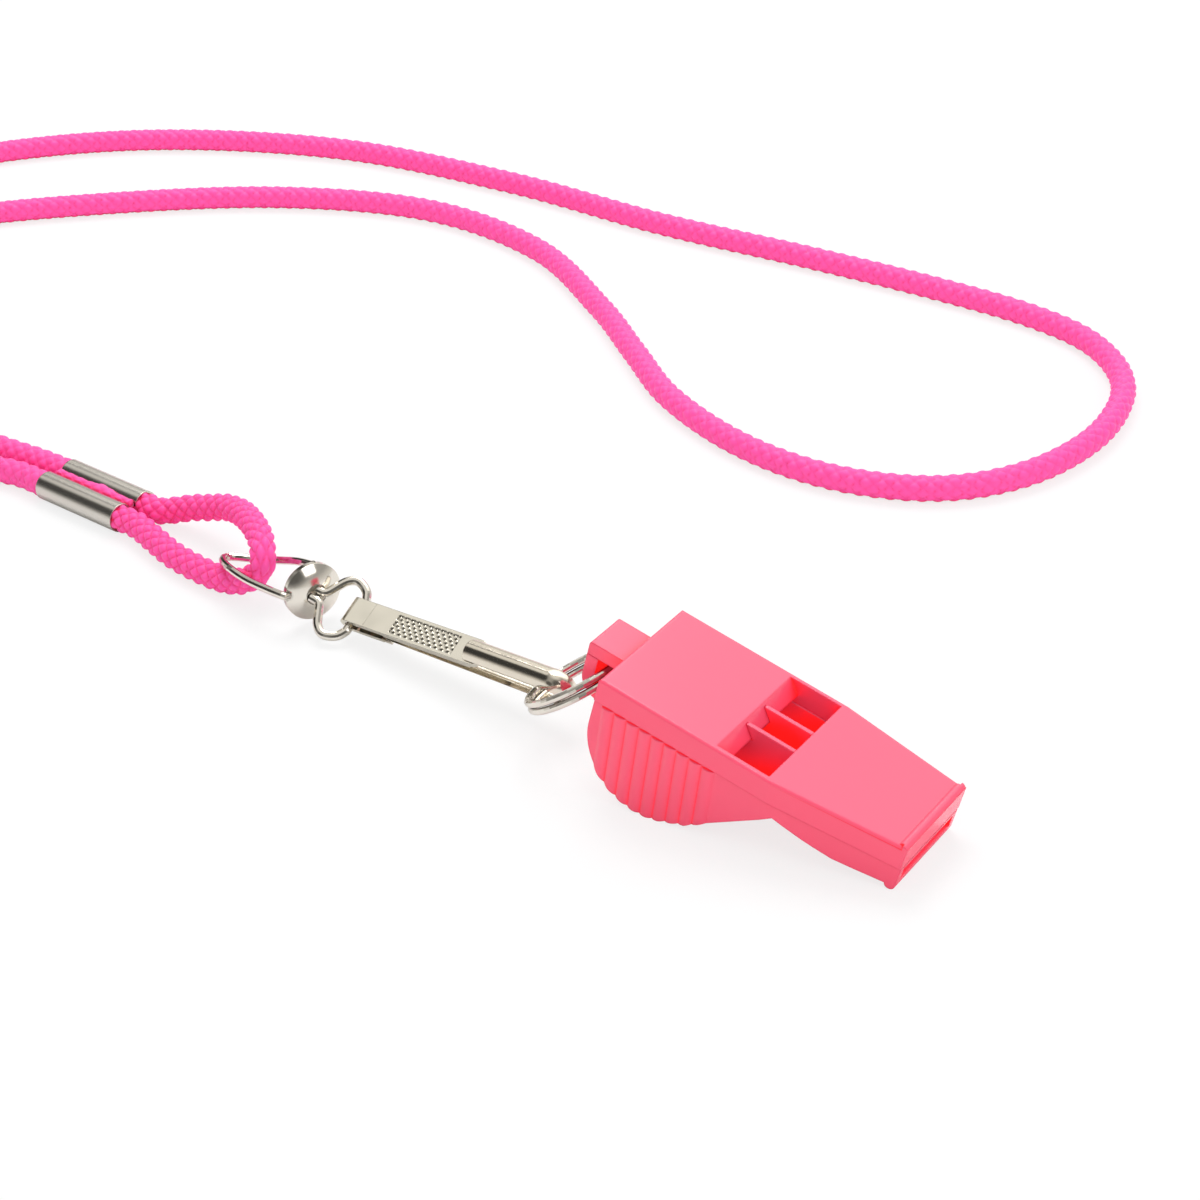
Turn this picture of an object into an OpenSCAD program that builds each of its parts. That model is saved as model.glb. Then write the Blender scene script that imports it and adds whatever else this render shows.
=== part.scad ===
// Pealess sports whistle on a lanyard: a two-piece moulded whistle, a split ring, a stamped
// snap hook with a sprung thumb gate, a swivel and a doubled cord in a metal crimp.
// Millimetres, +Z up. The table is z = 0 and the origin lies under the middle of the
// whistle and its metal hardware, with +X towards the mouthpiece.

/* [Whistle body] */
// Width over the sides of the whistle
body_w = 22; // [18:0.5:28]
// Length of the moulding from its rear face to the mouth
body_len = 48.9; // [44:0.1:60]
// Width of the mouthpiece at the lips
mouth_w = 17; // [12:0.5:18]
// Distance from the rear face to where the sides start to taper
taper_x = 28.4; // [28:0.1:32]
// Height of the top cover's side band
cover_h = 3.75; // [3.2:0.05:4.6]
// Thickness of the top cover's flat plate
plate_t = 2.4; // [1.8:0.1:2.8]
// Wall of the cover and of the lower body
wall = 0.9; // [0.7:0.05:1.3]
// Outer radius of the round belly
belly_r = 10.2; // [9.8:0.1:11]
// Depth of the belly's axis below the top face
belly_z = 8; // [7.6:0.1:9]
// Radius of the rounded upper edges
edge_r = 0.45; // [0.2:0.05:0.6]
// Height of the shadow groove between cover and lower body
seam_gap = 0.2; // [0.1:0.05:0.4]
// How far the lower body's smooth sides stand in from the cover
side_inset = 0.3; // [0.1:0.05:0.5]

/* [Window and wind channels] */
// Distance from the rear face to the window
window_x = 19.1; // [18:0.1:20]
// Length of the window along the whistle
window_len = 8.55; // [7:0.05:9.5]
// Run of the sloping ramp that ends in the sounding edge
ramp_run = 1.9; // [1:0.1:2.4]
// Thickness of the two chamber partitions
fin_t = 0.7; // [0.5:0.05:1.2]
// Distance of each partition from the middle plane
fin_y = 2.5; // [1.8:0.1:4]
// Depth of the partitions' tops below the top face, inside the window
fin_drop = 0.4; // [0.2:0.1:1]
// Height of the mouth slot
slot_h = 2; // [1.4:0.1:2.4]
// Depth of the mouth slot's ceiling below the top face
slot_z = 4.5; // [4.2:0.1:4.9]
// Height of the wind channel where it opens into the window
channel_h = 1.3; // [0.9:0.1:1.8]
// Wall beside the mouth slot
slot_wall = 1.4; // [1:0.1:2]

/* [Side ribs] */
// Number of ribs on each side
rib_count = 9; // [5:1:10]
// Spacing of the ribs
rib_pitch = 2.1; // [1.6:0.05:2.2]
// Height of a rib over the smooth side
rib_h = 0.4; // [0.2:0.05:0.6]
// Distance from the rear face to the first rib's middle
rib_x = 2.3; // [1.5:0.1:3]
// Forward lean of the ribs in degrees
rib_lean = 6; // [0:0.5:8]

/* [Lanyard tab] */
// Width of the tab behind the whistle
tab_w = 7.3; // [5:0.1:9]
// Reach of the tab behind the rear face
tab_len = 6.1; // [5.5:0.1:8]
// Depth of the tab's top below the top face
tab_z = 1.3; // [0.8:0.1:1.6]
// Thickness of the tab's rear bar
tab_bar = 1.9; // [1.4:0.1:2.4]
// Height of the hole through the tab
tab_hole_h = 4.9; // [4:0.1:5.2]
// Radius of the tab's lower outer corner
tab_r = 3.4; // [2:0.1:4]

/* [Split ring] */
// Mean radius of the ring
ring_r = 8.4; // [7.5:0.1:10]
// Wire diameter of the ring
ring_wire = 1.1; // [0.8:0.05:1.4]
// Gap between the two turns
ring_gap = 0.1; // [0.05:0.01:0.2]
// Angle over which the wire crosses from one turn to the next
ring_cross = 42; // [30:1:70]

/* [Snap hook] */
// Distance from the eye's axis to the middle of the nose bend
hook_len = 40.6; // [37:0.1:50]
// Width of the hook's stamped strip
hook_w = 3.7; // [3:0.1:5]
// Thickness of the hook's strip
hook_t = 0.7; // [0.5:0.05:1]
// Crown of the half-round strip
hook_crown = 1.2; // [0.8:0.05:1.4]
// Outer radius of the nose bend
nose_r = 3.35; // [2.5:0.05:3.6]
// Depth of the nose bend's axis below the eye's axis
nose_drop = 0.75; // [0:0.05:1]
// Length of the hood from the nose bend back over the gate
hood_len = 16.3; // [13.5:0.1:19]
// Width of the thumb gate
gate_w = 4.4; // [3.8:0.1:5.4]
// Thickness of the gate strip
gate_t = 0.8; // [0.6:0.05:1]
// Distance from the eye's axis to the tip of the gate
gate_len = 27.6; // [25.5:0.1:32]
// Distance from the eye's axis to the place where the strip flexes
flex_x = 2.6; // [2:0.1:4]
// Play of the swivel loop's bar along the eye
slot_len = 1.3; // [0:0.1:3]
// Clearance between the gate and the hood at rest
gate_clear = 0.12; // [0.05:0.01:0.3]
// Length of the knurled thumb pad
knurl_len = 13.5; // [8:0.1:14.5]
// Pitch of the knurl's diamonds
knurl_pitch = 1.3; // [1:0.05:2]
// Depth of the knurl
knurl_d = 0.22; // [0.1:0.01:0.3]
// Diameter of the strap rivet
rivet_d = 2; // [1.4:0.1:2.4]

/* [Swivel] */
// Wire diameter of the swivel loop
loop_wire = 1.5; // [1.2:0.05:1.8]
// Distance from the swivel head's face to the loop's bar
loop_len = 7.3; // [7.2:0.1:11]
// Distance that the bar lies to the near side of the eye's middle
bar_shift = 0.3; // [0:0.05:0.4]
// Width over the middle of the loop's two lobes
loop_w = 11.6; // [8:0.1:12]
// Length of the loop's straight bar
bar_len = 5.8; // [4.8:0.1:7]
// Running clearance round the bar and the stem
run_clear = 0.08; // [0.04:0.01:0.1]
// Outer radius of the swivel head
head_r = 4.7; // [4:0.1:6]
// Depth of the swivel head's dome
head_h = 1.5; // [1:0.1:2.4]
// Thickness of the swivel head's metal
head_t = 0.7; // [0.5:0.05:1]
// Diameter of the stem through the swivel head
stem_d = 3.3; // [2.4:0.1:3.4]
// Wire diameter of the bail
bail_wire = 1.3; // [1:0.05:1.6]
// Length of the bail behind the swivel head
bail_len = 19.4; // [15:0.1:20]
// Width of the bail where it leaves the swivel head
bail_w = 7.2; // [6:0.1:8.6]
// Rise of the bail's near side and dip of its far side round the cord
bail_wave = 1.6; // [0:0.1:2]

/* [Cord and crimp] */
// Diameter of the lanyard cord
cord_d = 4.4; // [3:0.1:5]
// Outer diameter of each barrel of the crimp
crimp_d = 4.9; // [4.6:0.1:6]
// Sheet thickness of the crimp
crimp_t = 0.4; // [0.3:0.05:0.6]
// Length of the crimp
crimp_len = 18.6; // [14:0.1:24]
// Spacing of the crimp's two barrels
crimp_gap = 5.45; // [5:0.05:6.4]

/* [Hidden] */
$fn = 64;

// Overrun that lets a cut pass through a face
over = 1;
// Angles at which the pieces lie in the photograph
whistle_pitch = 15.5;
ring_slope = 32.6;
ring_start = 50;
throat_turn = 169;
hook_yaw = -8.8;
hook_pitch = 5.8;
hook_roll = 31;
loop_fold = 25;
head_yaw = -26;
head_pitch = 3;
bail_yaw = -5.7;
bail_pitch = 0.5;
bail_roll = 20;
crimp_yaw = -7;
// Place of the belly's axis, which sets the whole chain of pieces
belly_x = 26.5;
belly_y = -0.2;

// Rotation matrices and vectors, in the order that rotate() uses
function rot_x(a) = [[1, 0, 0], [0, cos(a), -sin(a)], [0, sin(a), cos(a)]];
function rot_y(a) = [[cos(a), 0, sin(a)], [0, 1, 0], [-sin(a), 0, cos(a)]];
function rot_z(a) = [[cos(a), -sin(a), 0], [sin(a), cos(a), 0], [0, 0, 1]];
function turned(a, v) = rot_z(a[2]) * rot_y(a[1]) * rot_x(a[0]) * v;
function unit(v) = v / norm(v);

// A smooth curve through points, and the rings of a round tube along it
function bend(a, b, c, d, t) =
    0.5 * (2 * b + (c - a) * t + (2 * a - 5 * b + 4 * c - d) * t * t
           + (3 * b - a - 3 * c + d) * t * t * t);
function smooth(pts, steps) = [
    for (i = [0 : len(pts) - 2])
        let (a = i == 0 ? 2 * pts[0] - pts[1] : pts[i - 1],
             d = i == len(pts) - 2 ? 2 * pts[i + 1] - pts[i] : pts[i + 2])
            for (k = [0 : steps - 1]) bend(a, pts[i], pts[i + 1], d, k / steps),
    pts[len(pts) - 1]
];
function along(path, i) =
    unit(path[min(i + 1, len(path) - 1)] - path[max(i - 1, 0)]);
function ring_points(p, t, r, sides) =
    let (s = unit(cross([0, 0, 1], t)), u = cross(t, s))
        [for (k = [0 : sides - 1]) p + r * (cos(360 * (k + 0.5) / sides) * s
                                            + sin(360 * (k + 0.5) / sides) * u)];
function tube_walls(n, sides) = [
    for (i = [0 : n - 2])
        for (k = [0 : sides - 1])
            for (face = [[i * sides + k, (i + 1) * sides + k, i * sides + (k + 1) % sides],
                         [i * sides + (k + 1) % sides, (i + 1) * sides + k,
                          (i + 1) * sides + (k + 1) % sides]])
                face
];

// Round tube along a path; first and last give the directions of its two ends
module tube(path, r, sides, first = undef, last = undef) {
    n = len(path);
    points = [for (i = [0 : n - 1])
        let (t = i == 0 && !is_undef(first) ? first
                 : i == n - 1 && !is_undef(last) ? last : along(path, i))
            each ring_points(path[i], t, r, sides)];
    start_cap = [for (k = [0 : sides - 1]) k];
    end_cap = [for (k = [0 : sides - 1]) n * sides - 1 - k];
    polyhedron(points, concat([start_cap], tube_walls(n, sides), [end_cap]));
}

// Whistle frame: x from the rear face to the mouth, z = 0 at the top face
lip_r = 0.8;
lip_x = body_len - lip_r;
lip_z = 7.15;
lip_rise = 0.35;
seam_z = cover_h;
lower_top = seam_z + seam_gap;
lower_w = body_w - 2 * side_inset;
window_end = window_x + window_len;
fin_back = 0.16;
belly_front_z = 15.4;
belly_front_run = 1.1;
belly_front_x = belly_r + sqrt(pow(belly_r, 2) - pow(belly_front_z - belly_z, 2))
    + belly_front_run;
neck_x = 30;
neck_z = 6;
under_shares = [[0.085, 0.23], [0.254, 0.61], [0.354, 0.77], [0.503, 0.96], [0.656, 0.88],
                [0.815, 0.77], [0.915, 0.7]];
under_run = body_len - neck_x;
under_drop = 1.83;
floor_z = slot_z + slot_h;
tab_plate_z = 3.5;
tab_hole_z = tab_plate_z;
tab_floor_z = tab_hole_z + tab_hole_h;
tab_floor_t = 2;
tab_under_z = tab_floor_z + tab_floor_t;
inner_w = body_w - 2 * wall;
tongue_clear = 0.1;
hole_mid_x = -(tab_len - tab_bar) / 2;
hole_mid_drop = 5.4;

module place_whistle() {
    translate([belly_x, belly_y, belly_r])
        rotate([0, whistle_pitch, 0])
            translate([-belly_r, 0, belly_z])
                children();
}
function whistle_at(v) =
    [belly_x, belly_y, belly_r] + turned([0, whistle_pitch, 0], v + [-belly_r, 0, belly_z]);

// Side outline drawn with x along the whistle and y as height, then stood up
module stand(width) {
    rotate([90, 0, 0])
        linear_extrude(width, center = true)
            children();
}

// Plan outline of the whistle, inset from the full width
module plan(inset) {
    w = body_w / 2 - inset;
    m = mouth_w / 2 - inset;
    polygon([[-tab_len - over, -w], [taper_x, -w], [body_len + over, -m],
             [body_len + over, m], [taper_x, w], [-tab_len - over, w]]);
}

module round_edge(length) {
    linear_extrude(length)
        difference() {
            translate([-over, -over])
                square([edge_r + over, edge_r + over]);
            translate([edge_r, edge_r])
                circle(edge_r);
            translate([edge_r, -edge_r])
                square([edge_r, 2 * edge_r]);
        }
}

// Top cover
taper_turn = atan((body_w - mouth_w) / 2 / (body_len - taper_x));
taper_run = norm([body_len - taper_x, (body_w - mouth_w) / 2]);

module cover_edges() {
    for (side = [-1, 1]) {
        translate([-over, side * body_w / 2, 0])
            mirror([0, side > 0 ? 1 : 0, 0])
                rotate([90, 0, 90])
                    mirror([0, 1, 0])
                        round_edge(taper_x + over);
        translate([taper_x, side * body_w / 2, 0])
            mirror([0, side > 0 ? 1 : 0, 0])
                rotate([0, 0, taper_turn])
                    rotate([90, 0, 90])
                        mirror([0, 1, 0])
                            round_edge(taper_run - lip_r);
    }
    translate([0, body_w / 2 + over, 0])
        rotate([90, 0, 0])
            mirror([0, 1, 0])
                round_edge(body_w + 2 * over);
}

module cover_shell() {
    difference() {
        intersection() {
            union() {
                stand(body_w)
                    translate([0, -seam_z])
                        square([lip_x, seam_z]);
                stand(body_w)
                    translate([lip_x, -seam_z])
                        square([lip_r, seam_z]);
                stand(body_w)
                    translate([lip_x, lip_rise - lip_r])
                        circle(lip_r);
            }
            linear_extrude(4 * body_len, center = true)
                plan(0);
        }
        cover_edges();
        // Hollow under the plate, as wide as the inside of the body
        intersection() {
            stand(body_w)
                translate([wall, -seam_z - over])
                    square([lip_x - wall - 2 * lip_r, seam_z - plate_t + over]);
            linear_extrude(4 * body_len, center = true)
                plan(wall);
        }
        // Window with the sloping ramp at its rear
        stand(inner_w)
            polygon([[window_x - over * ramp_run / plate_t, over],
                     [window_x + (plate_t + over) * ramp_run / plate_t, -plate_t - over],
                     [window_end, -plate_t - over],
                     [window_end, over]]);
    }
}

module mouth_ceiling() {
    // Block that fills the cover above the wind channel
    intersection() {
        stand(body_w)
            polygon([[window_end, -plate_t + edge_r], [window_end, -plate_t],
                     [body_len - wall, -slot_z], [body_len - wall, -plate_t + edge_r]]);
        linear_extrude(4 * body_len, center = true)
            plan(slot_wall + tongue_clear);
    }
}

module tab_plate() {
    stand(tab_w)
        translate([-tab_len + edge_r, -tab_plate_z])
            square([tab_len - edge_r + wall, tab_plate_z - tab_z]);
    stand(tab_w)
        translate([-tab_len, -tab_plate_z])
            square([tab_len, tab_plate_z - tab_z - edge_r]);
    stand(tab_w)
        translate([-tab_len + edge_r, -tab_z - edge_r])
            circle(edge_r);
}

module top_cover() {
    color("#ff7898")
        place_whistle() {
            cover_shell();
            mouth_ceiling();
            tab_plate();
        }
}

// Lower body
module lower_outline(inset) {
    r = belly_r - inset;
    mid = [belly_r, -belly_z];
    front = [belly_front_x - inset, -belly_front_z + inset];
    // Tangent from the belly's front corner to its round
    reach = norm(front - mid);
    turn = atan2(front[1] - mid[1], front[0] - mid[0]) - (reach > r ? acos(r / reach) : 0);
    translate(mid)
        circle(r);
    polygon(concat(
        [[inset, over], [inset, -belly_z], mid, mid + r * [cos(turn), sin(turn)], front,
         [neck_x - inset / 2, -neck_z + inset]],
        inset > 0 ? [[neck_x - inset / 2, over]] :
            concat([for (s = under_shares) [neck_x + s[0] * under_run,
                                            -neck_z - s[1] * under_drop]],
                   [[lip_x, -lip_z], [body_len, -lip_z], [body_len, over]])));
}

module lower_shell() {
    intersection() {
        union() {
            intersection() {
                stand(body_w)
                    difference() {
                        union() {
                            lower_outline(0);
                            translate([lip_x, -lip_z])
                                circle(lip_r);
                        }
                        translate([-over, -lower_top])
                            square([body_len + 3 * over, 4 * cover_h]);
                    }
                linear_extrude(4 * body_len, center = true)
                    plan(side_inset);
            }
            ribs();
            // Inner ledge that the cover stands on
            intersection() {
                stand(body_w)
                    translate([edge_r, -lower_top - seam_gap])
                        square([body_len - 3 * edge_r, 2 * seam_gap]);
                linear_extrude(4 * body_len, center = true)
                    plan(edge_r);
            }
        }
        linear_extrude(4 * body_len, center = true)
            plan(-rib_h);
    }
}

module ribs() {
    chord = rib_pitch / 2;
    bar_r = (pow(chord, 2) + pow(rib_h, 2)) / (2 * rib_h);
    intersection() {
        for (side = [-1, 1])
            for (i = [0 : rib_count - 1])
                translate([rib_x + i * rib_pitch, side * (lower_w / 2 + rib_h - bar_r), -lower_top])
                    rotate([0, -rib_lean, 0])
                        translate([0, 0, -2 * belly_r])
                            cylinder(h = 2 * belly_r - rib_h / 2, r = bar_r);
        stand(body_w + 2 * rib_h)
            lower_outline(0);
        union() {
            for (side = [-1, 1])
                translate([0, side * lower_w / 2, 0])
                    linear_extrude(4 * body_len, center = true)
                        square([2 * body_len, 2 * rib_h], center = true);
        }
    }
}

module chamber() {
    intersection() {
        difference() {
            stand(inner_w)
                lower_outline(wall);
            // Partitions that make three chambers
            for (side = [-1, 1])
                translate([0, side * fin_y, 0])
                    stand(fin_t)
                        square([4 * body_len, 4 * body_len], center = true);
        }
        linear_extrude(4 * body_len, center = true)
            plan(wall + side_inset);
    }
}

module wind_channel() {
    // Channel from the mouth slot to the window
    intersection() {
        stand(body_w)
            polygon([[window_end - fin_drop, over], [window_end - fin_drop, -plate_t - channel_h],
                     [body_len + over, -floor_z], [body_len + over, -slot_z],
                     [body_len - wall, -slot_z], [body_len - wall, over]]);
        linear_extrude(4 * body_len, center = true)
            plan(slot_wall);
    }
}

module fins() {
    for (side = [-1, 1])
        translate([0, side * fin_y, 0])
            stand(fin_t) {
                difference() {
                    translate([wall, -belly_z - belly_r / 2])
                        square([window_end - wall - tongue_clear,
                                belly_z + belly_r / 2 - plate_t - tongue_clear]);
                    translate([window_end + wall, -plate_t])
                        square([body_len, 2 * plate_t]);
                }
                // Part inside the window, whose rear edge follows the ramp
                polygon([[window_x + ramp_run * fin_drop / plate_t + fin_back, -fin_drop],
                         [window_x + ramp_run + fin_back, -plate_t],
                         [window_x + ramp_run + fin_back, -belly_z],
                         [window_end - tongue_clear, -belly_z],
                         [window_end - tongue_clear, -fin_drop]]);
            }
}

module tab_hook() {
    difference() {
        union() {
            stand(tab_w)
                translate([-tab_len, -tab_under_z + tab_r])
                    square([tab_len, tab_under_z - tab_r - tab_plate_z - seam_gap / 2]);
            stand(tab_w)
                translate([-tab_len + tab_r, -tab_under_z])
                    square([tab_len - tab_r + wall, tab_r + wall]);
            stand(tab_w)
                translate([-tab_len + tab_r, -tab_under_z + tab_r])
                    circle(tab_r);
        }
        stand(tab_w + over) {
            translate([-tab_len + tab_bar, -tab_floor_z + edge_r])
                square([tab_len - tab_bar, tab_hole_h + over]);
            translate([-tab_len + tab_bar + edge_r, -tab_floor_z])
                square([tab_len - tab_bar - edge_r, tab_hole_h]);
            translate([-tab_len + tab_bar + edge_r, -tab_floor_z + edge_r])
                circle(edge_r);
        }
    }
}

module lower_body() {
    color("#f0506e")
        place_whistle() {
            difference() {
                union() {
                    lower_shell();
                    tab_hook();
                }
                chamber();
                wind_channel();
            }
            intersection() {
                fins();
                union() {
                    stand(body_w)
                        lower_outline(wall / 2);
                    stand(body_w)
                        translate([window_x, -belly_z])
                            square([window_len, belly_z]);
                }
            }
        }
}

// Split ring: its place follows from the hole in the whistle's tab
ring_lift = (ring_wire + ring_gap) / 2;
ring_tilt = [0, -ring_slope, 0];
ring_mid = whistle_at([hole_mid_x, 0, -hole_mid_drop]) - ring_r * turned(ring_tilt, [1, 0, 0]);
ring_turns = 720 - ring_cross;
ring_step = 8;
function ring_level(a) =
    let (s = max(0, min(1, (a - (360 - ring_cross)) / ring_cross)))
        ring_lift * (1 - 2 * s * s * (3 - 2 * s));
ring_path = [for (a = [0 : ring_turns / round(ring_turns / ring_step) : ring_turns + 0.001])
    [ring_r * cos(a + ring_start), ring_r * sin(a + ring_start), ring_level(a)]];

module split_ring() {
    color("#b9b4ab")
        translate(ring_mid)
            rotate(ring_tilt)
                tube(ring_path, ring_wire / 2, 12);
}

// Snap hook frame: origin on the eye's axis, x towards the nose, z out of the gate's face
hook_turn = [hook_roll, -hook_pitch, hook_yaw];
nose_z = -nose_drop;
eye_r = loop_wire / 2 + run_clear;
gate_top = eye_r + gate_t;
strap_len = 5.4;
tongue_x = 1.8;
tongue_top = -gate_top;
shank_start = strap_len + 3 * gate_clear;
shank_turn = asin((-tongue_top + hook_t - (nose_r - nose_z)) / (shank_start - hook_len));
hood_turn = atan((gate_top + gate_clear - (nose_z + nose_r - hook_crown)) / (hook_len - gate_len));
throat_pull = 1.45;
throat_side = 0.25;
throat_point = [hook_len - throat_pull, -throat_side, nose_z];
throat_world = ring_mid + ring_r * turned(ring_tilt, [cos(throat_turn), sin(throat_turn), 0]);
hook_origin = throat_world - turned(hook_turn, throat_point);
function hook_at(v) = hook_origin + turned(hook_turn, v);

module place_hook() {
    translate(hook_origin)
        rotate(hook_turn)
            children();
}

// Half-round section of the hook's strip: its crown touches y = 0 and faces +y
crown_r = (pow(hook_w / 2, 2) + pow(hook_crown, 2)) / (2 * hook_crown);

module strip_section() {
    intersection() {
        difference() {
            translate([0, -crown_r])
                circle(crown_r);
            translate([0, -crown_r])
                circle(crown_r - hook_t);
        }
        translate([-hook_w / 2, -hook_crown])
            square([hook_w, hook_crown]);
    }
}

module hook_body() {
    color("#b3ab98")
        place_hook() {
            translate([hook_len, 0, nose_z]) {
                // Shank, from the nose bend back towards the eye
                rotate([0, shank_turn, 0])
                    translate([0, 0, -nose_r])
                        rotate([-90, 0, 90])
                            linear_extrude(hook_len - shank_start)
                                strip_section();
                // Nose bend
                rotate([90, 0, 0])
                    rotate([0, 0, -90 - shank_turn])
                        rotate_extrude(angle = 180 + shank_turn - hood_turn)
                            translate([nose_r, 0])
                                rotate(-90)
                                    strip_section();
                // Hood over the tip of the gate
                rotate([0, hood_turn, 0])
                    translate([-hood_len, 0, nose_r])
                        rotate([90, 0, 90])
                            linear_extrude(hood_len)
                                strip_section();
            }
            // Flat tongue under the eye strap
            difference() {
                translate([tongue_x, -hook_w / 2, tongue_top - hook_t])
                    cube([shank_start + hook_t - tongue_x, hook_w, hook_t]);
                translate([rivet_x, 0, tongue_top - hook_t - over])
                    cylinder(h = hook_t + 2 * over, d = rivet_d + 2 * rivet_clear);
            }
        }
}

// Eye strap: the fixed part of the spring strip, bent round the swivel loop's bar
rivet_x = 3.2;
rivet_clear = 0.02;

module eye_strap() {
    color("#b9b4ab")
        place_hook() {
            translate([-slot_len, 0, 0])
                rotate([90, 0, 0])
                    rotate([0, 0, 90])
                        rotate_extrude(angle = 180)
                            translate([eye_r, -gate_w / 2])
                                square([gate_t, gate_w]);
            translate([-slot_len, -gate_w / 2, eye_r])
                cube([slot_len + flex_x, gate_w, gate_t]);
            difference() {
                translate([-slot_len, -gate_w / 2, -gate_top])
                    cube([slot_len + strap_len, gate_w, gate_t]);
                translate([rivet_x, 0, -gate_top - over])
                    cylinder(h = gate_t + 2 * over, d = rivet_d + 2 * rivet_clear);
            }
        }
}

rivet_head = 1.7;
rivet_head_h = 0.5;

module strap_rivet() {
    dome_r = (pow(rivet_head, 2) + pow(rivet_head_h, 2)) / (2 * rivet_head_h);
    color("#a49c8c")
        place_hook()
            translate([rivet_x, 0, 0]) {
                translate([0, 0, tongue_top - hook_t])
                    cylinder(h = hook_t + gate_t, d = rivet_d);
                // Domed head below, flat tail above
                translate([0, 0, tongue_top - hook_t])
                    intersection() {
                        translate([0, 0, dome_r - rivet_head_h])
                            sphere(dome_r);
                        translate([0, 0, -dome_r])
                            cylinder(h = dome_r, r = rivet_head);
                    }
                translate([0, 0, tongue_top + gate_t])
                    cylinder(h = rivet_head_h / 2, d = rivet_d * 1.3);
            }
}

// Thumb gate: the sprung part of the strip
knurl_x = 8;
flange_h = 0.35;
flange_t = 0.45;
flange_x = knurl_x - knurl_pitch;
groove_w = knurl_pitch / 3.2;
knurl_rim = 0.55;
groove_turn = 48;
flex_gap = 0.03;

module knurl() {
    step = knurl_pitch;
    field_w = gate_w - 2 * knurl_rim;
    intersection() {
        translate([knurl_x, -field_w / 2, gate_top - knurl_d])
            cube([knurl_len, field_w, 2 * knurl_d]);
        for (side = [-1, 1])
            for (i = [-1 : ceil(knurl_len / step) + 1])
                translate([knurl_x + i * step, 0, gate_top])
                    rotate([0, 0, side * groove_turn])
                        cube([groove_w, 2 * gate_w, 2 * knurl_d], center = true);
    }
}

module thumb_gate() {
    color("#bdb8ae")
        place_hook()
            difference() {
                union() {
                    translate([flex_x + flex_gap, -gate_w / 2, eye_r])
                        cube([gate_len - gate_w / 2 - flex_x - flex_gap, gate_w, gate_t]);
                    // Rounded tip under the hood
                    translate([gate_len - gate_w / 2, 0, eye_r])
                        cylinder(h = gate_t, d = gate_w);
                    for (side = [-1, 1])
                        translate([flange_x, side * (gate_w - flange_t) / 2 - flange_t / 2,
                                   eye_r - flange_h])
                            cube([gate_len - gate_w / 2 - flange_x, flange_t, flange_h + gate_t / 2]);
                }
                knurl();
            }
}

// Swivel frame: origin on the bar, which is pulled to the end of its play, x from the swivel
// head to the bar, y along the bar
bar_play = slot_len - run_clear;

module place_swivel() {
    place_hook()
        translate([-bar_play, -bar_shift, 0])
            rotate([0, loop_fold, 0])
                children();
}
function swivel_at(v) = hook_at([-bar_play, -bar_shift, 0] + rot_y(loop_fold) * v);

// Swivel head's frame: origin where its axis leaves the dome, x along the axis to the loop
head_turn = [0, -head_pitch, head_yaw];
head_apex = swivel_at([-loop_len, 0, 0]);
module place_head() {
    translate(head_apex)
        rotate(head_turn)
            rotate([0, 90, 0])
                children();
}
function head_at(v) = head_apex + turned(head_turn, v);

lobe = (loop_w - loop_wire) / 2;
lobe_shares = [[0.1, 0.82], [0.27, 0.97], [0.45, 1], [0.62, 0.82], [0.75, 0.48], [0.83, 0.26],
               [0.92, 0.17]];
wire_gap = 0.1;
half_loop = smooth(concat([[0, bar_len / 2, 0]],
    [for (s = lobe_shares) [-s[0] * loop_len, s[1] * lobe, 0]],
    [[-loop_len - head_t, (loop_wire + wire_gap) / 2, 0]]), 4);
loop_path = concat([for (i = [len(half_loop) - 1 : -1 : 0]) half_loop[i]],
    [for (p = half_loop) [p[0], -p[1], p[2]]]);
stem_head = 1.3;
stem_in = 0.2;
skirt_h = 1.2;
bail_back = 0.5;
rim_far = 80;
rim_near = 175;

module swivel_loop() {
    color("#b9b4ab") {
        place_swivel()
            tube(loop_path, loop_wire / 2, 12, [1, 0, 0], [-1, 0, 0]);
        // Stem in the head's hole, with its peened foot behind
        place_head() {
            translate([0, 0, -head_t - gate_t])
                cylinder(h = head_t + gate_t - stem_in, d = stem_d);
            translate([0, 0, -head_t - run_clear - gate_t])
                cylinder(h = gate_t, d = stem_d * stem_head);
        }
    }
}

// Swivel head with the bail that carries it on the cord, one stamped piece
dome_r = (pow(head_r, 2) + pow(head_h, 2)) / (2 * head_h);
bail_turn = [bail_roll, -bail_pitch, bail_yaw];
bail_mid = swivel_at([-loop_len - bail_back, 0, 0]);
bail_x_shares = [0.1, 0.32, 0.56, 0.79, 0.94, 1, 0.94, 0.79, 0.56, 0.32, 0.1];
bail_y_shares = [1.04, 1.05, 0.98, 0.74, 0.4, 0, -0.4, -0.74, -0.98, -1.05, -1.04];
bail_z_shares = [1.1, 0.6, -0.3, -0.8, -0.5, 0.1, 0.7, 1.25, 1.35, 1.4, 1.4];
function rim_at(turn, back) =
    head_at([-head_h - back, (head_r - head_t / 2) * cos(turn), (head_r - head_t / 2) * sin(turn)]);
bail_points = concat([rim_at(rim_far, skirt_h / 2)],
    [for (i = [0 : len(bail_x_shares) - 1])
        bail_mid + turned(bail_turn, [-bail_x_shares[i] * bail_len,
            bail_y_shares[i] * bail_w / 2, bail_z_shares[i] * bail_wave])],
    [rim_at(rim_near, skirt_h / 2)]);

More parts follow.
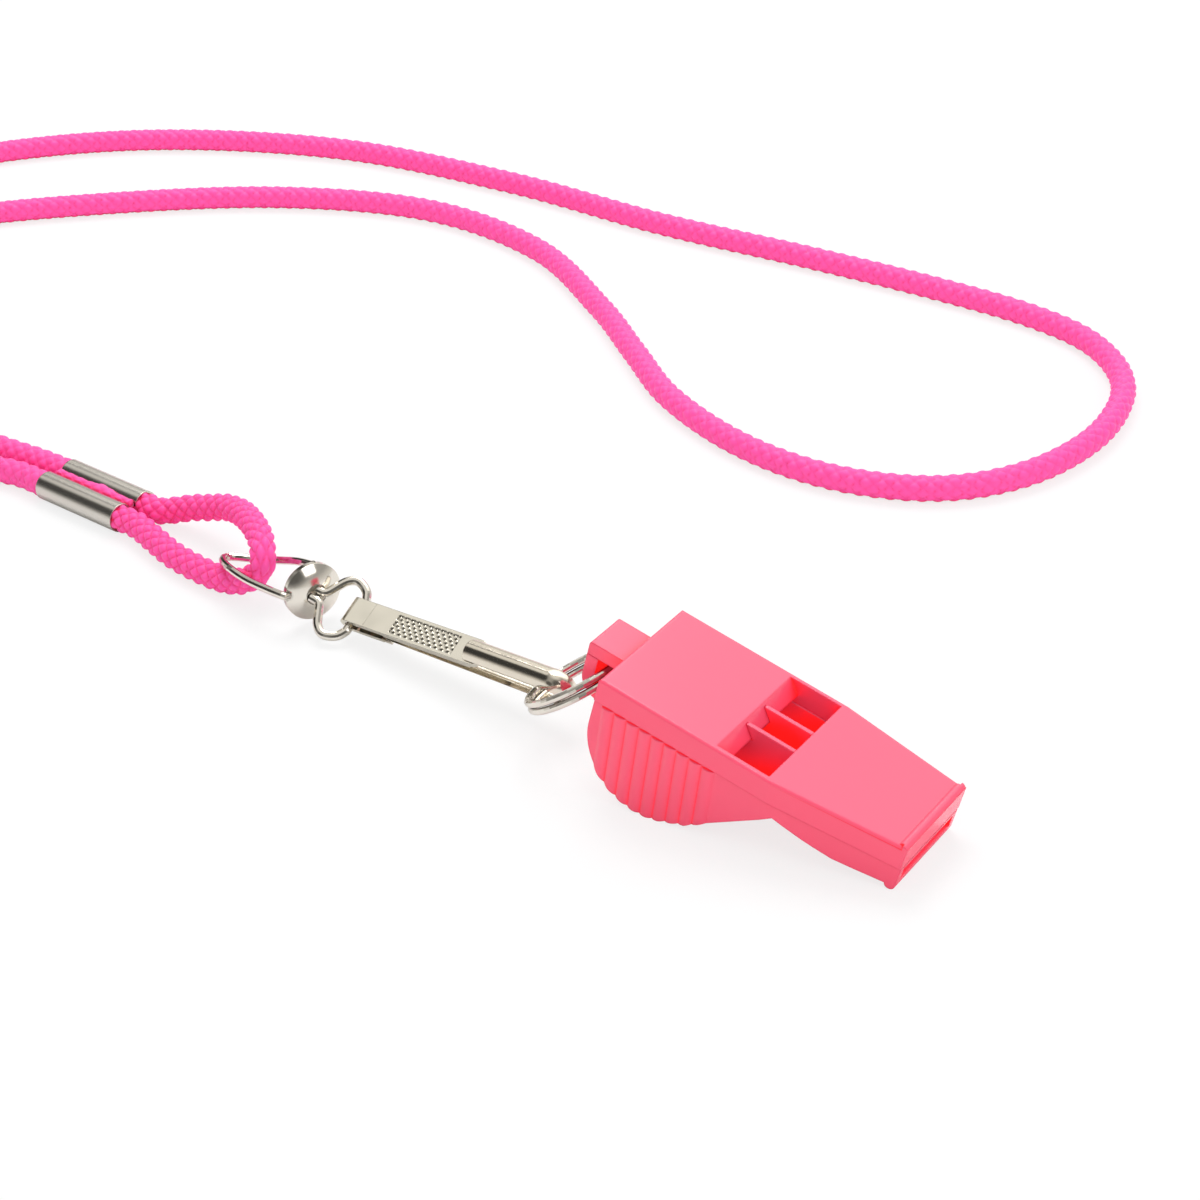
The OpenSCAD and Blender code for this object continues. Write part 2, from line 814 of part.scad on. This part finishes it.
module swivel_bail() {
    color("#b9b4ab") {
        place_head()
            difference() {
                union() {
                    intersection() {
                        translate([0, 0, -dome_r])
                            sphere(dome_r);
                        translate([0, 0, -head_h])
                            cylinder(h = 2 * head_h, r = head_r);
                    }
                    translate([0, 0, -head_h - skirt_h])
                        cylinder(h = skirt_h, r = head_r);
                }
                translate([0, 0, -dome_r])
                    sphere(dome_r - head_t);
                translate([0, 0, -head_h - skirt_h - over])
                    cylinder(h = skirt_h + over, r = head_r - head_t);
                // Flat seat for the stem's peened foot
                translate([0, 0, -head_h - skirt_h])
                    cylinder(h = head_h + skirt_h - head_t,
                             d = stem_d * stem_head + 4 * run_clear);
                cylinder(h = 4 * head_h, d = stem_d + 2 * run_clear, center = true);
            }
        tube(smooth(bail_points, 4), bail_wire / 2, 10);
    }
}

// Crimp: one sheet rolled from both edges round the two strands, open along the top
crimp_end = [-92.1, 16.5, crimp_d / 2];
crimp_slit = 1.5;

function crimp_at(side, run) =
    crimp_end + turned([0, 0, crimp_yaw], [-run, side * crimp_gap / 2, 0]);
crimp_way = turned([0, 0, crimp_yaw], [1, 0, 0]);

module place_crimp() {
    translate(crimp_end)
        rotate([0, 0, crimp_yaw])
            rotate([90, 0, -90])
                children();
}

module cord_crimp() {
    color("#a9a59c")
        place_crimp()
            linear_extrude(crimp_len)
                difference() {
                    union() {
                        for (side = [-1, 1])
                            translate([side * crimp_gap / 2, 0])
                                circle(d = crimp_d);
                        translate([-crimp_gap / 2, -crimp_d / 2])
                            square([crimp_gap, crimp_d / 2]);
                    }
                    for (side = [-1, 1])
                        translate([side * crimp_gap / 2, 0])
                            circle(d = crimp_d - 2 * crimp_t);
                    translate([-crimp_slit / 2, -crimp_d / 4])
                        square([crimp_slit, crimp_d]);
                }
}

strand_clear = 0.05;

module crimped_cord() {
    color("#ff4fa8")
        place_crimp()
            for (side = [-1, 1])
                translate([side * crimp_gap / 2, 0, 0])
                    cylinder(h = crimp_len, d = crimp_d - 2 * crimp_t - 2 * strand_clear);
}

// Route of the cord's eye, from the crimp's far barrel over the bail's far side,
// down through the bail and under its near side to the near barrel
strand_r = crimp_d / 2 - crimp_t;
eye_route = [[-88.4, 18.9, 2.5], [-85.5, 19.6, 3.1], [-82, 20.1, 4.3], [-78, 20, 5.5],
             [-74, 19.5, 6.9], [-70, 18, 8], [-66, 15.6, 8.9], [-62.5, 13.1, 9.4], [-59.3, 10.4, 9.5],
             [-57.4, 8.4, 9], [-56.7, 7.4, 7.8], [-57.2, 6.9, 6.2], [-58.9, 6.5, 4.6],
             [-61.7, 6.5, 3.2], [-65.6, 6.9, 2.4], [-71.4, 7.8, 2.2], [-77.5, 9.2, 2.2],
             [-83.3, 11.4, 2.3], [-88.4, 13.3, 2.4]];
eye_path = concat([crimp_at(1, 0)], eye_route, [crimp_at(-1, 0)]);

module eye_cord() {
    color("#ff4fa8")
        tube(eye_path, strand_r, 12, crimp_way, -crimp_way);
}

table_gap = 0.05;
// Route of the neck cord on the table, from the crimp's far barrel round to its near one, in the
// stretch that leaves the crimp, the bend across the table and the stretch that comes back
out_route = [[-118, 22.3], [-129, 22.5], [-147, 24], [-175, 31], [-200, 46], [-212, 68]];
out_end = [-206, 90];
bend_route = [[-184, 112], [-154, 133], [-123, 143], [-93, 138], [-68, 122], [-52, 109], [-37, 97],
              [-19, 88.5], [-2, 85.5], [13, 88], [24, 95], [31.5, 107.5], [34, 124], [30, 141],
              [19, 153], [4, 158.5], [-17, 160.5], [-44, 161], [-79, 160.5], [-117, 163],
              [-159, 160], [-199, 143]];
bend_end = [-227, 115];
back_route = [[-239, 82], [-232, 52], [-207, 29], [-174, 17], [-142, 15], [-124, 16.3],
              [-117.5, 17]];
function on_table(route) = [for (p = route) [p[0], p[1], cord_d / 2 + table_gap]];
function way(a, b) = unit([b[0] - a[0], b[1] - a[1], 0]);
out_way = way(out_route[len(out_route) - 1], bend_route[0]);
bend_way = way(bend_route[len(bend_route) - 1], back_route[0]);

module cord_tube(path, first, last) {
    color("#ff4fa8")
        tube(path, cord_d / 2, 10, first, last);
}

module neck_cord_out() {
    cord_tube(smooth(concat([crimp_at(1, crimp_len)], on_table(concat(out_route, [out_end]))), 2),
        -crimp_way, out_way);
}

module neck_cord_bend() {
    cord_tube(smooth(on_table(concat([out_end], bend_route, [bend_end])), 2), out_way, bend_way);
}

module neck_cord_back() {
    cord_tube(smooth(concat(on_table(concat([bend_end], back_route)), [crimp_at(-1, crimp_len)]), 2),
        bend_way, crimp_way);
}

// Piece list
top_cover();
lower_body();
split_ring();
hook_body();
eye_strap();
strap_rivet();
thumb_gate();
swivel_loop();
swivel_bail();
cord_crimp();
crimped_cord();
eye_cord();
neck_cord_out();
neck_cord_bend();
neck_cord_back();
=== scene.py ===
import math

import bpy
import numpy as np
from mathutils import Euler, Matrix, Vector


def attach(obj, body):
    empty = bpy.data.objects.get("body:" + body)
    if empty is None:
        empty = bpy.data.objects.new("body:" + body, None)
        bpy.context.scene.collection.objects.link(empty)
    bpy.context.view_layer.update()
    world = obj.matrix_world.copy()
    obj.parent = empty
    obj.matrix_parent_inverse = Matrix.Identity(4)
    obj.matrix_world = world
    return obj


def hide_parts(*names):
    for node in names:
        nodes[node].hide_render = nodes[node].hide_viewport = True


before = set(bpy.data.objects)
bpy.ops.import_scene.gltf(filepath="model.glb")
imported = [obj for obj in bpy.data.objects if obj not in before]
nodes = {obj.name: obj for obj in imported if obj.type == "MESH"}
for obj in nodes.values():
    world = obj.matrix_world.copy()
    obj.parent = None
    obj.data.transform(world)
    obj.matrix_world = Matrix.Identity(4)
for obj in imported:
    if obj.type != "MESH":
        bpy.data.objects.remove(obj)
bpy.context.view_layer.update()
MM = 0.001

# Sizes and routes of the cord, the same as in the part's source; routes are in millimetres
CORD_D = 4.4 * MM
CRIMP_LEN = 18.6 * MM
CRIMP_GAP = 5.45 * MM
CRIMP_END = Vector((-92.1, 16.5, 2.45)) * MM
CRIMP_YAW = math.radians(-7)
CRIMP_WAY = Vector((math.cos(CRIMP_YAW), math.sin(CRIMP_YAW), 0))
EYE_ROUTE = [
    (-88.4, 18.9, 2.5), (-85.5, 19.6, 3.1), (-82, 20.1, 4.3), (-78, 20, 5.5), (-74, 19.5, 6.9),
    (-70, 18, 8), (-66, 15.6, 8.9), (-62.5, 13.1, 9.4), (-59.3, 10.4, 9.5), (-57.4, 8.4, 9),
    (-56.7, 7.4, 7.8), (-57.2, 6.9, 6.2), (-58.9, 6.5, 4.6), (-61.7, 6.5, 3.2), (-65.6, 6.9, 2.4),
    (-71.4, 7.8, 2.2), (-77.5, 9.2, 2.2), (-83.3, 11.4, 2.3), (-88.4, 13.3, 2.4)]
OUT_ROUTE = [(-118, 22.3), (-129, 22.5), (-147, 24), (-175, 31), (-200, 46), (-212, 68)]
OUT_END = (-206, 90)
BEND_ROUTE = [
    (-184, 112), (-154, 133), (-123, 143), (-93, 138), (-68, 122), (-52, 109), (-37, 97),
    (-19, 88.5), (-2, 85.5), (13, 88), (24, 95), (31.5, 107.5), (34, 124), (30, 141), (19, 153),
    (4, 158.5), (-17, 160.5), (-44, 161), (-79, 160.5), (-117, 163), (-159, 160), (-199, 143)]
BEND_END = (-227, 115)
BACK_ROUTE = [(-239, 82), (-232, 52), (-207, 29), (-174, 17), (-142, 15), (-124, 16.3),
              (-117.5, 17)]
NECK_Z = CORD_D / 2 + 0.05 * MM
TABLE_CLEAR = 0.02 * MM

# Braid: stitches round the cord, their length and how far they stand out
STITCHES = 12
EYE_STITCH, EYE_RELIEF, EYE_R = 2.5 * MM, 0.55 * MM, 2.05 * MM
NECK_STITCH, NECK_RELIEF, NECK_R = 2.6 * MM, 0.4 * MM, 2.1 * MM
EYE_STEPS, NECK_STEPS = 12, 14


# Curves and meshes
def on_table(route):
    """Points of a flat route, at the height where the cord lies on the table."""
    return [Vector((x * MM, y * MM, NECK_Z)) for x, y in route]


def crimp_at(side, run):
    """Point on a barrel's axis, run metres behind the crimp's right end."""
    across = Vector((-CRIMP_WAY.y, CRIMP_WAY.x, 0))
    return CRIMP_END - run * CRIMP_WAY + side * CRIMP_GAP / 2 * across


def smooth(points, steps):
    """Catmull-Rom curve through the points, with so many steps from each to the next."""
    points = [Vector(p) for p in points]
    out = []
    for i in range(len(points) - 1):
        b, c = points[i], points[i + 1]
        a = points[i - 1] if i else 2 * b - c
        d = points[i + 2] if i + 2 < len(points) else 2 * c - b
        for k in range(steps):
            t = k / steps
            out.append(0.5 * (2 * b + (c - a) * t + (2 * a - 5 * b + 4 * c - d) * t * t
                              + (3 * b - a - 3 * c + d) * t ** 3))
    return out + [points[-1]]


def resample(points, step):
    """Points about step apart along a polyline, ends kept."""
    p = np.array([list(v) for v in points])
    run = np.concatenate([[0], np.cumsum(np.linalg.norm(np.diff(p, axis=0), axis=1))])
    count = max(2, round(run[-1] / step)) + 1
    at = np.linspace(0, run[-1], count)
    return np.stack([np.interp(at, run, p[:, k]) for k in range(3)], axis=1), run[-1]


def frames(p, first, last):
    """Tangents and turning-free normals along a polyline with the two end directions given."""
    t = np.gradient(p, axis=0)
    t[0], t[-1] = first, last
    t /= np.linalg.norm(t, axis=1)[:, None]
    n = np.zeros_like(p)
    n[0] = np.cross(t[0], (0.0, 0.0, 1.0))
    n[0] /= np.linalg.norm(n[0])
    for i in range(1, len(p)):
        v = n[i - 1] - t[i] * np.dot(n[i - 1], t[i])
        n[i] = v / np.linalg.norm(v)
    return t, n, np.cross(t, n)


def link(name, data):
    """New object for a mesh, lamp or camera, in the scene."""
    obj = bpy.data.objects.new(name, data)
    bpy.context.scene.collection.objects.link(obj)
    return obj


def add_mesh(name, verts, faces, material):
    mesh = bpy.data.meshes.new(name)
    mesh.from_pydata([tuple(map(float, v)) for v in verts], [], faces)
    mesh.polygons.foreach_set("use_smooth", [True] * len(mesh.polygons))
    mesh.update()
    mesh.materials.append(material)
    return link(name, mesh)


def sweep(name, points, ends, radius, sides, step, relief):
    """Closed cord along a route, whose radius gets relief(angle, run); also gives its path."""
    p, length = resample(points, step)
    _, n, b = frames(p, *ends)
    run = np.linspace(0, length, len(p))
    ang = np.arange(sides) * 2 * math.pi / sides
    r = radius + relief(ang[None, :], run[:, None])
    ring = (n[:, None, :] * np.cos(ang)[None, :, None]
            + b[:, None, :] * np.sin(ang)[None, :, None])
    verts = (p[:, None, :] + ring * r[:, :, None]).reshape(-1, 3)
    verts[:, 2] = np.maximum(verts[:, 2], TABLE_CLEAR)  # flattened where it lies on the table
    faces = []
    for i in range(len(p) - 1):
        for k in range(sides):
            k2 = (k + 1) % sides
            faces.append((i * sides + k, i * sides + k2,
                          (i + 1) * sides + k2, (i + 1) * sides + k))
    faces.append(tuple(range(sides - 1, -1, -1)))
    faces.append(tuple((len(p) - 1) * sides + k for k in range(sides)))
    return add_mesh(name, verts, faces, cord_mat), p


def cord_piece(node, line, ends, radius, sides, step, relief):
    """Braided stretch of the lanyard that takes a CAD tube's place; gives its length."""
    piece, path = sweep(node + "_braid", line, ends, radius, sides, step, relief)
    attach(piece, "lanyard")
    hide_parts(node)
    length = float(np.linalg.norm(np.diff(path, axis=0), axis=1).sum())
    return length


# Materials
def principled(name, color, rough, metal=0.0, **more):
    m = bpy.data.materials.new(name)
    m.use_nodes = True
    s = m.node_tree.nodes["Principled BSDF"]
    s.inputs["Base Color"].default_value = (*color, 1)
    s.inputs["Roughness"].default_value = rough
    s.inputs["Metallic"].default_value = metal
    for key, value in more.items():
        s.inputs[key.replace("_", " ")].default_value = value
    return m, s


def noise(nt, scale, detail=3):
    """Noise in the object's own space."""
    coord = nt.nodes.new("ShaderNodeTexCoord")
    n = nt.nodes.new("ShaderNodeTexNoise")
    n.inputs["Scale"].default_value = scale
    n.inputs["Detail"].default_value = detail
    nt.links.new(coord.outputs["Object"], n.inputs["Vector"])
    return n.outputs["Fac"]


def remap(nt, value, low, high, to_low, to_high):
    """Value from low..high, clamped, on to to_low..to_high."""
    m = nt.nodes.new("ShaderNodeMapRange")
    for k, v in enumerate((low, high, to_low, to_high), 1):
        m.inputs[k].default_value = v
    nt.links.new(value, m.inputs[0])
    return m.outputs[0]


def soft_edges(nt, radius):
    """Normal that rounds the look of sharp edges."""
    bevel = nt.nodes.new("ShaderNodeBevel")
    bevel.samples = 6
    bevel.inputs["Radius"].default_value = radius
    return bevel.outputs["Normal"]


def bumped(nt, height, strength, distance, normal=None):
    """Normal with a bump of a height on it."""
    bump = nt.nodes.new("ShaderNodeBump")
    bump.inputs["Strength"].default_value = strength
    bump.inputs["Distance"].default_value = distance
    nt.links.new(height, bump.inputs["Height"])
    if normal:
        nt.links.new(normal, bump.inputs["Normal"])
    return bump.outputs["Normal"]


def camera_ray(nt):
    return nt.nodes.new("ShaderNodeLightPath").outputs["Is Camera Ray"]


def blocked(nt, distance, low, high, local):
    """1 in a recess and 0 in the open, from the ambient occlusion over a distance; a mask for
    painted shade and glow.
    """
    ao = nt.nodes.new("ShaderNodeAmbientOcclusion")
    ao.samples = 12
    ao.only_local = local
    ao.inputs["Distance"].default_value = distance
    return remap(nt, ao.outputs["AO"], low, high, 1, 0)


def tint(nt, factor, a, b):
    """Colour from a to b by a factor; a is a colour or a socket."""
    mix = nt.nodes.new("ShaderNodeMix")
    mix.data_type = "RGBA"
    if isinstance(a, tuple):
        mix.inputs[6].default_value = (*a, 1)
    else:
        nt.links.new(a, mix.inputs[6])
    mix.inputs[7].default_value = (*b, 1)
    nt.links.new(factor, mix.inputs[0])
    return mix.outputs[2]


def times(nt, a, b):
    m = nt.nodes.new("ShaderNodeMath")
    m.operation = "MULTIPLY"
    nt.links.new(a, m.inputs[0])
    nt.links.new(b, m.inputs[1])
    return m.outputs[0]


def pink_plastic():
    """Pink moulding, with painted light: painted shade makes its recesses and creases deep red,
    and a painted glow lights the recesses.
    """
    pink = (0.95, 0.1, 0.19)
    m, s = principled("pink_abs", pink, 0.24, Specular_IOR_Level=0.5)
    nt = m.node_tree
    grain = bumped(nt, noise(nt, 900), 0.03, 0.1 * MM, soft_edges(nt, 0.4 * MM))
    nt.links.new(grain, s.inputs["Normal"])
    # Mask of the recesses, for painted shade in the base colour and for the painted glow
    painted_hollow_glow = blocked(nt, 8 * MM, 0.5, 0.93, True)
    # Painted shade: creases, the parting line among them, darken to deep red, from ambient
    # occlusion
    painted_crease_shade = blocked(nt, 0.5 * MM, 0.1, 0.8, False)
    color = tint(nt, painted_crease_shade, pink, (0.85, 0.02, 0.07))
    nt.links.new(tint(nt, painted_hollow_glow, color, (0.9, 0.012, 0.02)), s.inputs["Base Color"])
    # Painted glow, seen by the camera only: a faint one keeps the shaded sides saturated, and a
    # strong one lights the recesses
    nt.links.new(tint(nt, painted_hollow_glow, (1.0, 0.03, 0.08), (1.0, 0.012, 0.01)),
                 s.inputs["Emission Color"])
    nt.links.new(times(nt, remap(nt, painted_hollow_glow, 0, 1, 0.14, 0.75), camera_ray(nt)),
                 s.inputs["Emission Strength"])
    return m


def nickel(name, color, rough, edge, wave, grain=0.0):
    """Nickel plate on stamped metal: long shallow waves in it, a fine grain, and painted shade
    that darkens its creases.
    """
    m, s = principled(name, color, rough, 1.0)
    nt = m.node_tree
    # Painted shade: the base colour darkens to 0.3 of itself in creases, from ambient occlusion
    painted_valley_shade = blocked(nt, 0.5 * MM, 0.3, 0.95, True)
    nt.links.new(tint(nt, painted_valley_shade, color, tuple(0.3 * c for c in color)), s.inputs["Base Color"])
    normal = bumped(nt, noise(nt, 170, 1), wave, 0.3 * MM, soft_edges(nt, edge))
    normal = bumped(nt, noise(nt, 1300, 1), grain, 0.1 * MM, normal)
    nt.links.new(normal, s.inputs["Normal"])
    return m


def neon_cord():
    """Braided yarn: fine fibres along the stitches, with a soft sheen; painted shade darkens the
    braid's grooves, and a faint painted glow is seen by the camera only.
    """
    m, s = principled("neon_cord", (1.0, 0.07, 0.38), 0.55, Specular_IOR_Level=0.4,
                      Sheen_Weight=0.6, Sheen_Roughness=0.35)
    s.inputs["Sheen Tint"].default_value = (1, 0.45, 0.85, 1)
    nt = m.node_tree
    nt.links.new(bumped(nt, noise(nt, 3500, 4), 0.25, 0.1 * MM), s.inputs["Normal"])
    # Painted shade: the colour deepens in the braid's grooves, from ambient occlusion
    painted_valley_shade = blocked(nt, 0.9 * MM, 0.45, 1.0, False)
    nt.links.new(tint(nt, painted_valley_shade, (1.0, 0.09, 0.42), (1.0, 0.015, 0.11)),
                 s.inputs["Base Color"])
    # Painted glow, seen by the camera only
    s.inputs["Emission Color"].default_value = (1, 0.02, 0.14, 1)
    nt.links.new(remap(nt, camera_ray(nt), 0, 1, 0, 0.12), s.inputs["Emission Strength"])
    return m


plastic = pink_plastic()
wire_steel = nickel("nickel_wire", (0.74, 0.7, 0.63), 0.14, 0.05 * MM, 0.15)
pressed_steel = nickel("nickel_pressed", (0.72, 0.66, 0.56), 0.17, 0.12 * MM, 0.3, 0.1)
strip_steel = nickel("nickel_strip", (0.8, 0.76, 0.66), 0.15, 0.15 * MM, 0.45)
sheet_steel = nickel("nickel_sheet", (0.6, 0.57, 0.52), 0.26, 0.2 * MM, 0.1, 0.05)
cord_mat = neon_cord()


# Cord
def braid(columns, pitch, height, start=0.0):
    """Relief of a round braid: stitches in a lattice of diamonds, from a run of start."""
    def relief(a, s):
        u = columns * a / 4 + math.pi * (s + start) / pitch
        v = columns * a / 4 - math.pi * (s + start) / pitch
        return height * (np.abs(np.sin(u) * np.sin(v)) ** 0.5 - 0.55)
    return relief


def swollen(thick, middle, reach, base):
    """Relief of a cord that is thicker, or where thick is below 0 thinner, round its middle."""
    def relief(a, s):
        return thick * np.exp(-((s - middle) / reach) ** 2) + base(a, s)
    return relief


# The cord's eye, pressed a little thinner where it carries the bail
eye_line = smooth([crimp_at(1, 0)] + [Vector(p) * MM for p in EYE_ROUTE] + [crimp_at(-1, 0)],
                  EYE_STEPS)
cord_piece("eye_cord", eye_line, (CRIMP_WAY, -CRIMP_WAY), EYE_R, 72, 0.14 * MM,
           swollen(-0.15 * MM, 42 * MM, 8 * MM, braid(STITCHES, EYE_STITCH, EYE_RELIEF)))

# The long loop is one smooth line, cut where its three stretches meet
neck_line = smooth([crimp_at(1, CRIMP_LEN)]
                   + on_table(OUT_ROUTE + [OUT_END] + BEND_ROUTE + [BEND_END] + BACK_ROUTE)
                   + [crimp_at(-1, CRIMP_LEN)], NECK_STEPS)
out_cut = NECK_STEPS * (len(OUT_ROUTE) + 1)
bend_cut = out_cut + NECK_STEPS * (len(BEND_ROUTE) + 1)
out_way, bend_way = ((neck_line[i + 1] - neck_line[i - 1]).normalized()
                     for i in (out_cut, bend_cut))
run = 0.0
for name, line, ends in (
        ("neck_cord_out", neck_line[:out_cut + 1], (-CRIMP_WAY, out_way)),
        ("neck_cord_bend", neck_line[out_cut:bend_cut + 1], (out_way, bend_way)),
        ("neck_cord_back", neck_line[bend_cut:], (bend_way, CRIMP_WAY))):
    run += cord_piece(name, line, ends, NECK_R, 48, 0.25 * MM,
                      braid(STITCHES, NECK_STITCH, NECK_RELIEF, run))

# Cord that shows along the crimp's open slit, with one lump where it squeezes out
SLIT_Z = Vector((0, 0, 1.3 * MM))
slit_line = [crimp_at(0, back * MM) + SLIT_Z for back in (0.4, 6, 12, 18.2)]
slit, _ = sweep("crimp_slit_cord", slit_line, (-CRIMP_WAY, -CRIMP_WAY), 0.72 * MM, 40, 0.15 * MM,
                swollen(0.45 * MM, 7 * MM, 2.2 * MM, braid(8, 2.5 * MM, 0.2 * MM)))
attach(slit, "lanyard")

# Camera at the photograph's place
camera_data = bpy.data.cameras.new("camera")
camera_data.lens = 87.59
camera_data.sensor_width = 36
camera_data.clip_start = 0.01
camera = link("camera", camera_data)
camera.location = (0.20863, -0.29352, 0.23787)
camera.rotation_euler = Euler([math.radians(a) for a in (58.991, 1.493, 32.94)])
bpy.context.scene.camera = camera

# CAD nodes that keep their shape
for node, material in (
        ("top_cover", plastic), ("lower_body", plastic), ("split_ring", wire_steel),
        ("hook_body", pressed_steel), ("eye_strap", strip_steel), ("strap_rivet", pressed_steel),
        ("thumb_gate", strip_steel), ("swivel_loop", wire_steel), ("swivel_bail", wire_steel),
        ("cord_crimp", sheet_steel), ("crimped_cord", cord_mat)):
    for slot in nodes[node].material_slots:
        slot.link = "OBJECT"
        slot.material = material

# Floor: white, its shadows lifted for the camera as on a light table
FLOOR_REACH = 3
SHADOW_LIFT = 0.78
floor_mat, shader = principled("floor", (0.93, 0.93, 0.93), 0.6, Specular_IOR_Level=0.1)
nt = floor_mat.node_tree
glow = nt.nodes.new("ShaderNodeEmission")
glow.inputs["Strength"].default_value = 1.0
lift = nt.nodes.new("ShaderNodeMixShader")
nt.links.new(remap(nt, camera_ray(nt), 0, 1, 0, SHADOW_LIFT), lift.inputs[0])
nt.links.new(shader.outputs[0], lift.inputs[1])
nt.links.new(glow.outputs[0], lift.inputs[2])
nt.links.new(lift.outputs[0], nt.nodes["Material Output"].inputs["Surface"])
floor = add_mesh("floor", [(x * FLOOR_REACH, y * FLOOR_REACH, 0)
                           for x, y in ((-1, -1), (1, -1), (1, 1), (-1, 1))],
                 [(0, 1, 2, 3)], floor_mat)

# Studio: even white for diffuse light; reflections see soft boxes and dark gaps between them
world = bpy.data.worlds.new("studio")
bpy.context.scene.world = world
world.use_nodes = True
nt = world.node_tree
nt.nodes.clear()
coord = nt.nodes.new("ShaderNodeTexCoord")


def toward(direction, edge, core):
    """1 near a direction and 0 away from it, by the cosines of the two angles."""
    dot = nt.nodes.new("ShaderNodeVectorMath")
    dot.operation = "DOT_PRODUCT"
    dot.inputs[1].default_value = Vector(direction).normalized()
    nt.links.new(coord.outputs["Generated"], dot.inputs[0])
    return remap(nt, dot.outputs["Value"], edge, core, 0, 1)


def blend(factor, a, level):
    """Grey level over a socket where factor is 1."""
    mix = nt.nodes.new("ShaderNodeMix")
    mix.inputs[3].default_value = level
    nt.links.new(factor, mix.inputs[0])
    nt.links.new(a, mix.inputs[2])
    return mix.outputs[0]


up = toward((0, 0, 1), -1, 1)
room = remap(nt, up, 0.5, 0.64, 0.85, 0.42)
for direction, edge, core, level in (
        ((0, 0, 1), 0.85, 0.97, 0.9),
        ((-0.8, -0.36, 0.48), 0.88, 0.97, 0.04),
        ((-0.74, 0.52, 0.42), 0.9, 0.96, 0.05),
        ((-0.72, 0.08, 0.69), 0.975, 0.99, 0.95),
        ((0.48, -0.71, 0.52), 0.8, 0.95, 0.12),
        ((-0.3, -0.9, 0.25), 0.93, 0.98, 0.1),
        ((-0.08, 0.73, 0.68), 0.75, 0.95, 2.0)):
    room = blend(toward(direction, edge, core), room, level)
even = nt.nodes.new("ShaderNodeBackground")
nt.links.new(remap(nt, camera_ray(nt), 0, 1, 0.8, 1), even.inputs["Strength"])
mirrored = nt.nodes.new("ShaderNodeBackground")
mirrored.inputs["Color"].default_value = (1, 0.98, 0.94, 1)
nt.links.new(room, mirrored.inputs["Strength"])
glossy = nt.nodes.new("ShaderNodeLightPath").outputs["Is Glossy Ray"]
choice = nt.nodes.new("ShaderNodeMixShader")
output = nt.nodes.new("ShaderNodeOutputWorld")
nt.links.new(glossy, choice.inputs[0])
nt.links.new(even.outputs[0], choice.inputs[1])
nt.links.new(mirrored.outputs[0], choice.inputs[2])
nt.links.new(choice.outputs[0], output.inputs["Surface"])


def area(name, where, target, size, power):
    data = bpy.data.lights.new(name, "AREA")
    data.shape = "SQUARE"
    data.size = size
    data.energy = power
    lamp = link(name, data)
    lamp.location = where
    lamp.rotation_euler = (Vector(target) - Vector(where)).to_track_quat("-Z", "Y").to_euler()


area("key", (-0.25, 0.35, 0.75), (-0.02, 0.03, 0), 0.5, 4.0)
area("fill", (0.6, -0.1, 0.5), (0, 0, 0), 0.4, 1.2)

bpy.context.scene.view_settings.view_transform = "Standard"
